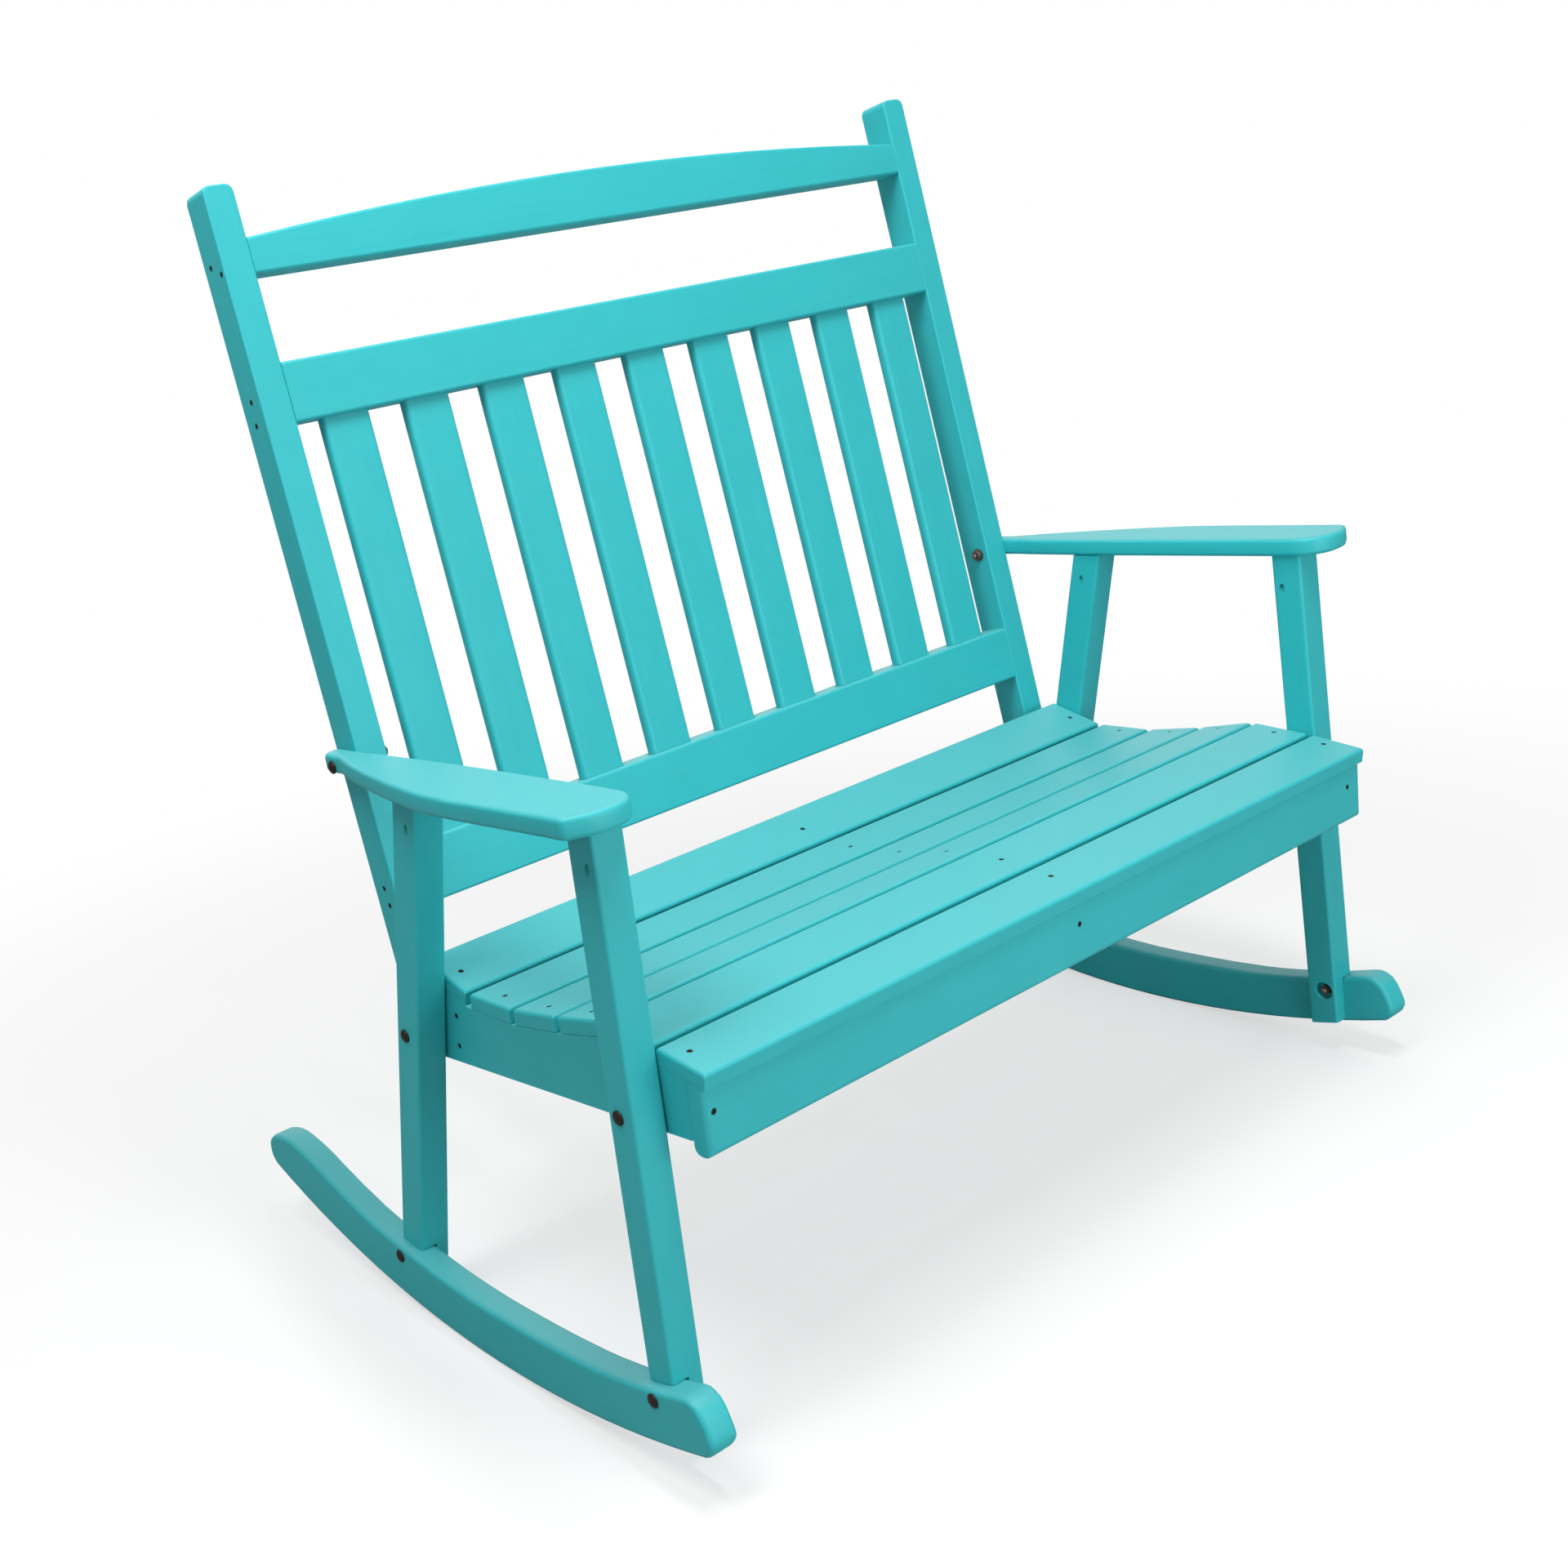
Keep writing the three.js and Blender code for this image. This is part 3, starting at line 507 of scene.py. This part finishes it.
def side_screws():
    """Screws that go through the posts and side rails from outside, on both sides."""
    down = -UP_THE_BACK
    behind = Vector((0, math.cos(BACK_ANGLE), -math.sin(BACK_ANGLE)))
    for side, name in ((1, "right"), (-1, "left")):
        outside = Vector((side * BESIDE_BENCH, 0, 0)) * MM
        inwards = Vector((-side, 0, 0))
        for along, depth in POST_SCREWS:
            start = POST_TOP + (down * along + behind * depth) * MM + outside
            yield f"back_post_{name}", start, inwards
        for y, z in RAIL_SCREWS:
            yield f"seat_side_rail_{name}", Vector((0, y, z)) * MM + outside, inwards


def leg_pockets():
    """Pocket holes in both side faces of each leg."""
    for outwards, pockets in ((1, OUTER_POCKETS), (-1, INNER_POCKETS)):
        for leg, (y, z) in pockets.items():
            for side, name in ((1, "right"), (-1, "left")):
                start = Vector((side * (LEG_MIDDLE + outwards * BESIDE_LEG), y, z)) * MM
                yield f"{leg}_{name}", start, Vector((-side * outwards, 0, 0))


def placed(lines):
    """The places and facings of holes, by the board that they are in."""
    found = {}
    for node, start, direction in lines:
        place, normal = surface_at(node, start, direction)
        found.setdefault(node, []).append((place, normal))
    return found


def new_tree(name, inputs):
    """An empty geometry tree with named inputs: name, socket type and value."""
    tree = bpy.data.node_groups.new(name, "GeometryNodeTree")
    tree.interface.new_socket(name="Geometry", in_out="INPUT", socket_type="NodeSocketGeometry")
    for label, kind, value in inputs:
        socket = tree.interface.new_socket(name=label, in_out="INPUT", socket_type=kind)
        if value is not None:
            socket.default_value = value
    tree.interface.new_socket(name="Geometry", in_out="OUTPUT", socket_type="NodeSocketGeometry")
    return tree


def set_inputs(modifier, values):
    for item in modifier.node_group.interface.items_tree:
        if item.in_out == "INPUT" and item.name in values:
            modifier[item.identifier] = values[item.name]


def screw_tree():
    """Screw heads on points: low, tapered, with a square recess, facing as their points do."""
    tree = new_tree("screw_heads", [
        ("Head diameter", "NodeSocketFloat", SCREW_HEAD),
        ("Head height", "NodeSocketFloat", SCREW_HEAD_HEIGHT),
        ("Recess width", "NodeSocketFloat", SCREW_RECESS),
        ("Recess depth", "NodeSocketFloat", SCREW_RECESS_DEPTH),
        ("Material", "NodeSocketMaterial", None),
    ])
    given = add_node(tree, "NodeGroupInput")
    radius = add_node(
        tree, "ShaderNodeMath", {"operation": "MULTIPLY"}, {1: 0.5}, {0: given.outputs["Head diameter"]}
    )
    top_radius = add_node(
        tree, "ShaderNodeMath", {"operation": "MULTIPLY"}, {1: SCREW_TOP_SHARE},
        {0: radius.outputs["Value"]},
    )
    head = add_node(
        tree, "GeometryNodeMeshCone", {"fill_type": "NGON"}, {"Vertices": SCREW_SIDES, "Side Segments": 2},
        {
            "Radius Top": top_radius.outputs["Value"],
            "Radius Bottom": radius.outputs["Value"],
            "Depth": given.outputs["Head height"],
        },
    )
    recess_height = add_node(
        tree, "ShaderNodeMath", {"operation": "MULTIPLY"}, {1: 2}, {0: given.outputs["Recess depth"]}
    )
    recess_size = add_node(
        tree, "ShaderNodeCombineXYZ",
        links={
            "X": given.outputs["Recess width"],
            "Y": given.outputs["Recess width"],
            "Z": recess_height.outputs["Value"],
        },
    )
    recess = add_node(tree, "GeometryNodeMeshCube", links={"Size": recess_size.outputs["Vector"]})
    top = add_node(tree, "ShaderNodeCombineXYZ", links={"Z": given.outputs["Head height"]})
    raised = add_node(
        tree, "GeometryNodeTransform",
        links={"Geometry": recess.outputs["Mesh"], "Translation": top.outputs["Vector"]},
    )
    driven = add_node(tree, "GeometryNodeMeshBoolean", {"operation": "DIFFERENCE", "solver": "EXACT"})
    tree.links.new(head.outputs["Mesh"], driven.inputs["Mesh 1"])
    tree.links.new(raised.outputs["Geometry"], driven.inputs["Mesh 2"])
    facing = add_node(
        tree, "GeometryNodeInputNamedAttribute", {"data_type": "FLOAT_VECTOR"}, {"Name": "facing"}
    )
    turn = add_node(
        tree, "FunctionNodeAlignRotationToVector", {"axis": "Z"},
        links={"Vector": facing.outputs["Attribute"]},
    )
    heads = add_node(
        tree, "GeometryNodeInstanceOnPoints",
        links={
            "Points": given.outputs["Geometry"],
            "Instance": driven.outputs["Mesh"],
            "Rotation": turn.outputs["Rotation"],
        },
    )
    real = add_node(
        tree, "GeometryNodeRealizeInstances", links={"Geometry": heads.outputs["Instances"]}
    )
    coated = add_node(
        tree, "GeometryNodeSetMaterial",
        links={"Geometry": real.outputs["Geometry"], "Material": given.outputs["Material"]},
    )
    add_node(tree, "NodeGroupOutput", links={"Geometry": coated.outputs["Geometry"]})
    return tree


def screw_heads(name, places, tree, material):
    """One piece with a screw head in each hole."""
    mesh = bpy.data.meshes.new(name)
    sunk = SCREW_SINK + SCREW_HEAD_HEIGHT
    mesh.from_pydata([place - facing * sunk for place, facing in places], [], [])
    attribute = mesh.attributes.new("facing", "FLOAT_VECTOR", "POINT")
    for stored, (_, facing) in zip(attribute.data, places):
        stored.vector = facing
    piece = link_mesh(name, mesh)
    modifier = piece.modifiers.new("heads", "NODES")
    modifier.node_group = tree
    set_inputs(modifier, {"Material": material})
    settled(piece)
    piece.data.set_sharp_from_angle(angle=SCREW_SHARP_ANGLE)
    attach(piece, BODY)


# Bolts and nuts


def finished_fastener(node, material, end_material=None):
    """A bolt or nut with its edges eased, in place of its CAD solid. A bolt's end is left bare."""
    piece = eased_copy(node, STEEL_EDGE_RADIUS)
    piece.data.set_sharp_from_angle(angle=SHARP_ANGLE)
    piece.data.materials.clear()
    piece.data.materials.append(material)
    if end_material:
        piece.data.materials.append(end_material)
        inner = min(abs(v.co.x) for v in piece.data.vertices)
        for face in piece.data.polygons:
            face.material_index = int(abs(face.center.x) < inner + BARE_END)
    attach(piece, BODY)
    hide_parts(node)


# Studio


def lay_floor(material):
    shape = bmesh.new()
    bmesh.ops.create_grid(
        shape, x_segments=FLOOR_PARTS, y_segments=FLOOR_PARTS, size=FLOOR_SIZE / 2
    )
    mesh = bpy.data.meshes.new("studio_floor")
    shape.to_mesh(mesh)
    shape.free()
    floor = link_mesh("studio_floor", mesh)
    floor.data.materials.append(material)


def hang_lights():
    for name, facts in LIGHTS.items():
        lamp = bpy.data.lights.new(name, "AREA")
        lamp.shape = "RECTANGLE"
        lamp.size, lamp.size_y = facts["size"]
        lamp.energy = facts["watts"]
        holder = bpy.data.objects.new(name, lamp)
        bpy.context.scene.collection.objects.link(holder)
        holder.location = facts["place"]
        direction = Vector(facts["aim"]) - holder.location
        holder.rotation_euler = direction.to_track_quat("-Z", "Y").to_euler()


def fill_room():
    """An even white room with a broad window behind the bench; to the camera it is plain white."""
    world = bpy.data.worlds.new("white_room")
    bpy.context.scene.world = world
    world.use_nodes = True
    tree = world.node_tree
    tree.nodes.clear()
    rays = add_node(tree, "ShaderNodeLightPath")
    seen = add_node(
        tree, "ShaderNodeMath", {"operation": "MAXIMUM"},
        links={0: rays.outputs["Is Camera Ray"], 1: rays.outputs["Is Transmission Ray"]},
    )
    direction = add_node(tree, "ShaderNodeTexCoord")
    towards = add_node(
        tree, "ShaderNodeVectorMath", {"operation": "DOT_PRODUCT"}, {1: WINDOW_DIRECTION},
        {0: direction.outputs["Generated"]},
    )
    nearest, farthest = WINDOW_SPREAD
    walls = add_node(
        tree, "ShaderNodeMapRange", {"interpolation_type": "SMOOTHSTEP"},
        {"From Min": nearest, "From Max": farthest, "To Min": WORLD_LEVEL, "To Max": WINDOW_LEVEL},
        {"Value": towards.outputs["Value"]},
    )
    level = add_node(
        tree, "ShaderNodeMapRange", values={"To Max": 1},
        links={"Value": seen.outputs["Value"], "To Min": walls.outputs["Result"]},
    )
    room = add_node(
        tree, "ShaderNodeBackground",
        values={"Color": (1, 1, 1, 1)},
        links={"Strength": level.outputs["Result"]},
    )
    add_node(tree, "ShaderNodeOutputWorld", links={"Surface": room.outputs["Background"]})


def place_camera():
    lens = bpy.data.cameras.new("photograph_view")
    lens.sensor_fit = "HORIZONTAL"
    lens.sensor_width = CAMERA_SENSOR
    lens.lens = CAMERA_LENS
    lens.shift_x, lens.shift_y = CAMERA_SHIFT
    lens.clip_end = CAMERA_REACH
    camera = bpy.data.objects.new("photograph_view", lens)
    bpy.context.scene.collection.objects.link(camera)
    turn = Matrix((CAMERA_RIGHT, CAMERA_UP, -CAMERA_AHEAD)).transposed().to_4x4()
    camera.matrix_world = Matrix.Translation(CAMERA_PLACE) @ turn
    bpy.context.scene.camera = camera


place_camera()
# The pale colour is a painted sheen, mixed in on faces that look up
turquoise_lumber = plastic_lumber(
    "turquoise_polyethylene_lumber", dark="2CB9BF", light="31BEC4", pale="5AB8BC"
)
bronze_coating = coated_steel("bronze_coated_steel", "2A2321", "3F3632", roughness=0.42, metallic=0.6)
nut_steel = coated_steel("bronze_washed_steel", "6B5A52", "8C7B70", roughness=0.38, metallic=0.85)
cut_steel = coated_steel("cut_bolt_end_steel", "9A8B80", "C4B6A8", roughness=0.35, metallic=0.9)

screw_places = placed([*seat_screws(), *apron_screws(), *side_screws()])
pocket_places = placed(leg_pockets())
for number, name in enumerate(sorted(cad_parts)):
    if "bolt" in name:
        finished_fastener(name, bronze_coating, cut_steel)
    elif "nut" in name:
        finished_fastener(name, nut_steel)
    else:
        finished_board(name, number, screw_places.get(name, []), pocket_places.get(name, []))

heads = screw_tree()
for name, places in sorted(screw_places.items()):
    screw_heads("screws_" + name, places, heads, bronze_coating)

lay_floor(studio_paper("pale_studio_paper", colour="A2A2A2", seen_colour="F4F4F4"))
hang_lights()
fill_room()
bpy.context.scene.view_settings.view_transform = "Standard"
